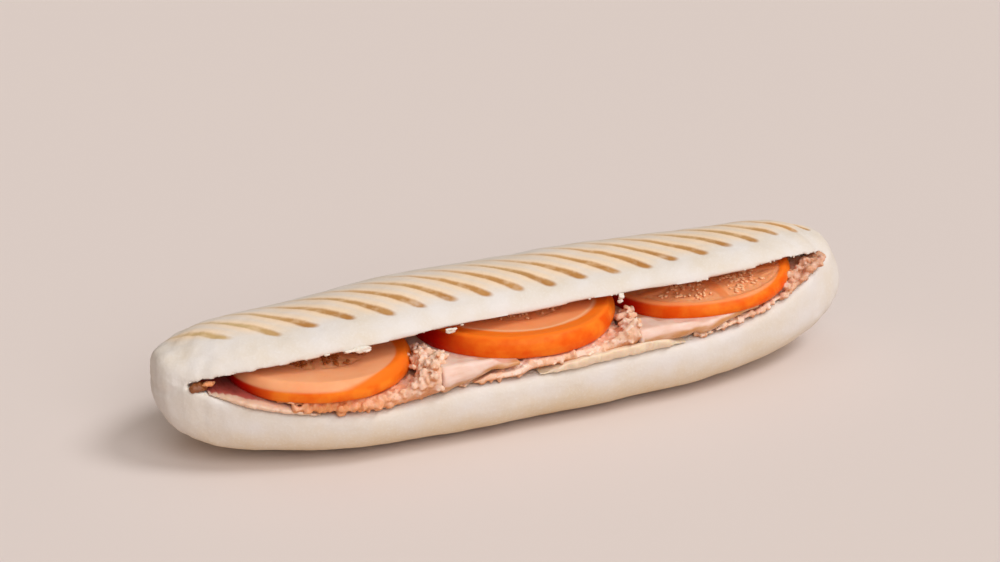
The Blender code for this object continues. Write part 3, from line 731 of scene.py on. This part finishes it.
# The tomatoes: three thick slices cut across the fruit and pressed down into the chicken. Each has its smooth
# skin round the rim, a firm wall, and chambers of jelly and seeds round a pale core.
TOMATO_FACE = 0.45 * MM
SOLID_SIDES = 44               # of the plain solid, rounded off here
CHAMBERS = 6
SETTLED = 1.2 * MM             # how far the slices sank into the soft chicken
SEED_SHAPE = (1.3, 0.7, 0.5)   # length, width and thickness, by its radius
SEED_HEIGHT = 0.92             # share of the thickness, so that the seeds stand partly out of the jelly
SEEDS_BACK = 3 * MM            # how far behind the middle they are laid, as the bread hides the rest
TOMATOES = {
    # rise is the slope up to the right. The chambers begin and end, and the wall begins, at these shares of
    # the radius, and the skin covers the share skin_reach of the rim's height.
    "tomato_slice_left": SimpleNamespace(
        middle=(-74.5 * MM, -5.0 * MM, 26.9 * MM), radius=32.8 * MM, thick=7.3 * MM, rise=-0.01,
        chambers=(0.10, 0.56), turn=0.30, wall=0.87, wall_shift=0.10, skin_reach=0.58,
        seeds=26, redness=0.0, vein=0.0),
    "tomato_slice_middle": SimpleNamespace(
        middle=(1.5 * MM, -0.5 * MM, 29.9 * MM), radius=37.5 * MM, thick=8.3 * MM, rise=0.026,
        chambers=(0.26, 0.54), turn=0.9, wall=0.79, wall_shift=0.0, skin_reach=1.1,
        seeds=12, redness=0.35, vein=0.7),
    "tomato_slice_right": SimpleNamespace(
        middle=(76.8 * MM, 0.4 * MM, 32.2 * MM), radius=35.6 * MM, thick=6.1 * MM, rise=0.102,
        chambers=(0.30, 0.92), turn=0.1, wall=0.89, wall_shift=0.10, skin_reach=1.0,
        seeds=44, redness=0.45, vein=0.2),
}
FLESH_PALE = linear("#f9b486")
FLESH_ORANGE = linear("#f49a64")
WALL_ORANGE = linear("#f8781e")
VEIN_PALE = linear("#fdc79a")
JELLY_PALE = linear("#ffc79e")
JELLY_ORANGE = linear("#ffa664")
SKIN_ORANGE = linear("#f98322")
SKIN_RED = linear("#ec590a")
RIM_SHADE_RED = linear("#c40e04")
SEED_CREAM = linear("#ffd4ac")
SEED_ORANGE = linear("#f6ac70")
SEED_BROWN = linear("#b5622a")
TOMATO_MASKS = ("skin", "wall", "jelly", "vein", "rim_shade")

# Cut ripe tomato: full of water, so light scatters deep in it and comes out red. Its warm cut face has lost
# most of its shine.
tomato_finish, tree, shader, place = start_material("cut_ripe_tomato", 0.4, 0.3, (4.0, 1.8, 0.7))
shader.inputs["Specular IOR Level"].default_value = 0.08
wet = add(tree, "ShaderNodeTexNoise", {"Vector": place, "Scale": 1 / (8 * MM), "Detail": 5.0})["Fac"]
fine = add(tree, "ShaderNodeTexNoise", {"Vector": place, "Scale": 1 / (1.2 * MM), "Detail": 4.0})["Fac"]
skin, wall, jelly, vein, rim_shade = (
    add(tree, "ShaderNodeAttribute", attribute_name=mask)["Fac"] for mask in TOMATO_MASKS)
flesh_tone = add(tree, "ShaderNodeMix", {0: wet, 6: FLESH_PALE, 7: FLESH_ORANGE}, data_type="RGBA")[2]
flesh_tone = add(tree, "ShaderNodeMix", {0: wall, 6: flesh_tone, 7: WALL_ORANGE}, data_type="RGBA")[2]
jelly_tone = add(tree, "ShaderNodeMix", {0: fine, 6: JELLY_PALE, 7: JELLY_ORANGE}, data_type="RGBA")[2]
cut_tone = add(tree, "ShaderNodeMix", {0: jelly, 6: flesh_tone, 7: jelly_tone}, data_type="RGBA")[2]
cut_tone = add(tree, "ShaderNodeMix", {0: vein, 6: cut_tone, 7: VEIN_PALE}, data_type="RGBA")[2]
skin_share = add(tree, "ShaderNodeMapRange", {0: wet, 1: 0.35, 2: 0.65})[0]
skin_tone = add(tree, "ShaderNodeMix", {0: skin_share, 6: SKIN_ORANGE, 7: SKIN_RED}, data_type="RGBA")[2]
# Painted shade: the skin turns deep red towards the left end of each rim, where it turns away from the light.
skin_tone = add(tree, "ShaderNodeMix", {0: rim_shade, 6: skin_tone, 7: RIM_SHADE_RED}, data_type="RGBA")[2]
tomato_tone = add(tree, "ShaderNodeMix", {0: skin, 6: cut_tone, 7: skin_tone}, data_type="RGBA")[2]
tree.links.new(tomato_tone, shader.inputs["Base Color"])
rough_share = add(tree, "ShaderNodeMapRange", {0: wet, 3: 0.32, 4: 0.5})[0]
tree.links.new(rough_share, shader.inputs["Roughness"])
bump = add(tree, "ShaderNodeBump", {"Strength": 0.15, "Distance": 0.2 * MM, "Height": fine})[0]
tree.links.new(bump, shader.inputs["Normal"])

# Tomato seeds: smooth wet coats, cream to orange, and brown on the left slice.
seed_finish, tree, shader, place = start_material("tomato_seed_coat", 0.35)
speck = add(tree, "ShaderNodeTexNoise", {"Vector": place, "Scale": 1 / (1.5 * MM), "Detail": 2.0})["Fac"]
seed_tone = add(tree, "ShaderNodeMix", {0: speck, 6: SEED_CREAM, 7: SEED_ORANGE}, data_type="RGBA")[2]
axes = add(tree, "ShaderNodeSeparateXYZ", {0: place})
on_left = add(tree, "ShaderNodeMapRange", {0: axes["X"], 1: -30 * MM, 2: -40 * MM})[0]
seed_tone = add(tree, "ShaderNodeMix", {0: on_left, 6: seed_tone, 7: SEED_BROWN}, data_type="RGBA")[2]
tree.links.new(seed_tone, shader.inputs["Base Color"])


def cut_across(place, normal, cut):
    """Jelly chambers sunk between firm walls on both cut faces, skin round the rim, wavy edges, and painted
    shade in deep red at the left end of the rim.
    """
    x, y = place.x - cut.middle[0], place.y - cut.middle[1]
    inner, outer = cut.chambers
    drift = noise.noise(place / (14 * MM))
    r = math.hypot(x, y) / cut.radius + 0.03 * drift
    turn = ((math.atan2(y, x) + 0.12 * drift) / (2 * math.pi) + cut.turn) * CHAMBERS
    beside_wall = abs(turn - math.floor(turn) - 0.5) * 2
    arc = (1 - beside_wall) * math.pi / CHAMBERS * r
    chamber = smooth(r, inner, inner + 0.06) * smooth(r, outer, outer - 0.05) * smooth(arc, 0.03, 0.07)
    shift = cut.wall_shift * cut.radius
    shifted = math.hypot(x + shift, y + shift) / cut.radius + 0.02 * drift
    wall = smooth(shifted, cut.wall, cut.wall + 0.03)
    vein = cut.vein * math.exp(-((shifted - cut.wall + 0.01) / 0.015) ** 2)
    face = smooth(abs(normal.z), 0.6, 0.85)
    chamber *= face * (1 - wall)
    up_rim = (place.z - (cut.middle[2] + cut.rise * x - SETTLED)) / cut.thick
    skin = smooth(up_rim, cut.skin_reach + 0.08, cut.skin_reach - 0.05)
    skin *= 1 - face * smooth(up_rim, 0.3, 0.6)
    height = -0.4 * MM * chamber + 0.3 * MM * chamber * noise.noise(place / (1.8 * MM))
    height += 0.12 * MM * noise.noise(place / (5 * MM)) * (1 - skin)
    height += 0.35 * MM * noise.noise(place / (12 * MM) + Vector((cut.turn * 9, 0, 0)))
    jelly = chamber * (1 - cut.redness)
    # Painted shade, deep red, over the left end of the rim.
    rim_shade = smooth(x, -0.62 * cut.radius, -0.97 * cut.radius)
    return height, skin, max(wall, cut.redness), jelly, vein * (1 - jelly), rim_shade


def lay_seeds(cut):
    """Flat seeds in the jelly of the upper face, each pointing roughly to the middle."""
    seeds = []
    for chamber in range(CHAMBERS):
        for _ in range(cut.seeds):
            turn = (chamber + 0.5 - cut.turn * CHAMBERS + draw.uniform(-0.36, 0.36)) / CHAMBERS * 2 * math.pi
            r = draw.uniform(cut.chambers[0] + 0.08, min(cut.chambers[1], cut.wall) - 0.06) * cut.radius
            x, y = cut.middle[0] + r * math.cos(turn), cut.middle[1] + r * math.sin(turn)
            if y > cut.middle[1] + SEEDS_BACK:
                continue
            z = cut.middle[2] + cut.rise * (x - cut.middle[0]) + cut.thick * SEED_HEIGHT - SETTLED
            bpy.ops.mesh.primitive_ico_sphere_add(subdivisions=2, radius=draw.uniform(0.6, 0.95) * MM)
            seeds.append(bpy.context.object)
            bpy.ops.object.mode_set(mode="EDIT")
            bpy.ops.mesh.select_all(action="SELECT")
            bpy.ops.transform.resize(value=SEED_SHAPE)
            askew = draw.uniform(-0.5, 0.5)
            bpy.ops.transform.rotate(value=-turn + askew, orient_axis="Z", center_override=(0, 0, 0))
            bpy.ops.transform.translate(value=(x, y, z))
            bpy.ops.object.mode_set(mode="OBJECT")
    return seeds


draw = random.Random(7)
for node, cut in TOMATOES.items():
    tomato = dressed_copy(node, node.replace("slice", "round"))
    reskin(tomato, TOMATO_FACE)
    for vert in tomato.data.vertices:
        # The flat sides of the solid are rounded out to the true circle.
        x, y = vert.co.x - cut.middle[0], vert.co.y - cut.middle[1]
        side = (math.atan2(y, x) + math.pi / 2) % (2 * math.pi / SOLID_SIDES) - math.pi / SOLID_SIDES
        outward = math.cos(side) / math.cos(math.pi / SOLID_SIDES)
        vert.co = (cut.middle[0] + x * outward, cut.middle[1] + y * outward, vert.co.z - SETTLED)
    soften(tomato, 6)
    relief(tomato, lambda place, normal: cut_across(place, normal, cut), *TOMATO_MASKS)
    tomato.data.materials.append(tomato_finish)
    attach(tomato, "root")
    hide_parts(node)

    choose(*lay_seeds(cut))
    bpy.ops.object.join()
    seeds = bpy.context.object
    seeds.name = seeds.data.name = node.replace("slice", "seeds")
    bpy.ops.object.origin_set(type="ORIGIN_CURSOR")
    bpy.ops.object.shade_smooth()
    seeds.data.materials.append(seed_finish)
    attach(seeds, "root")

# The setting: a pale matt table top, with a wide soft light from the front, a smaller one from high at the
# right, a weak one from above and behind, and an even warm light all round.
TABLE_ROSE = linear("#e0d2cd")
TABLE_CREAM = linear("#e3d5ce")
LIGHTS = (
    # name, direction it comes from, softness as an angle, strength
    ("front_light", (-0.03, -0.81, 0.58), 48, 1.7),
    ("right_light", (0.45, -0.35, 0.82), 22, 1.2),
    ("top_light", (0.1, 0.3, 0.95), 60, 0.3),
)
LIGHT_COLOUR = (0.96, 0.98, 1.0)
SURROUNDING_COLOUR = (1.0, 0.86, 0.7, 1.0)
SURROUNDING_STRENGTH = 0.25

table_top, tree, shader, place = start_material("pale_matt_table_top", 0.9)
tint = add(tree, "ShaderNodeTexNoise", {"Vector": place, "Scale": 2.0, "Detail": 2.0})["Fac"]
table_tone = add(tree, "ShaderNodeMix", {0: tint, 6: TABLE_ROSE, 7: TABLE_CREAM}, data_type="RGBA")[2]
tree.links.new(table_tone, shader.inputs["Base Color"])
bpy.ops.mesh.primitive_plane_add(size=12, location=(0, 0, 0))
floor = bpy.context.object
floor.name = "table_top"
floor.data.materials.append(table_top)

for name, spot, softness, strength in LIGHTS:
    bpy.ops.object.light_add(type="SUN", location=spot)
    light = bpy.context.object
    light.name = name
    light.data.energy = strength
    light.data.angle = math.radians(softness)
    light.data.color = LIGHT_COLOUR
    light.rotation_euler = (-Vector(spot)).to_track_quat("-Z", "Y").to_euler()
world = bpy.data.worlds.new("even_light")
world.use_nodes = True
world.node_tree.nodes["Background"].inputs["Color"].default_value = SURROUNDING_COLOUR
world.node_tree.nodes["Background"].inputs["Strength"].default_value = SURROUNDING_STRENGTH
bpy.context.scene.world = world

# The camera: the photo's own view, from the front towards the left end and a little above.
CAMERA_TURN = math.radians(24.84)
CAMERA_RISE = math.radians(21.31)
CAMERA_DISTANCE = 840.2 * MM
CAMERA_TARGET = Vector((-2.54 * MM, 0.0, 44.0 * MM))
level = math.cos(CAMERA_RISE)
away = Vector((-math.sin(CAMERA_TURN) * level, -math.cos(CAMERA_TURN) * level, math.sin(CAMERA_RISE)))
bpy.ops.object.camera_add(location=CAMERA_TARGET + away * CAMERA_DISTANCE)
camera = bpy.context.object
camera.rotation_euler = (-away).to_track_quat("-Z", "Y").to_euler()
camera.data.lens = 85
camera.data.sensor_width = 36
bpy.context.scene.camera = camera
bpy.context.scene.view_settings.view_transform = "Standard"
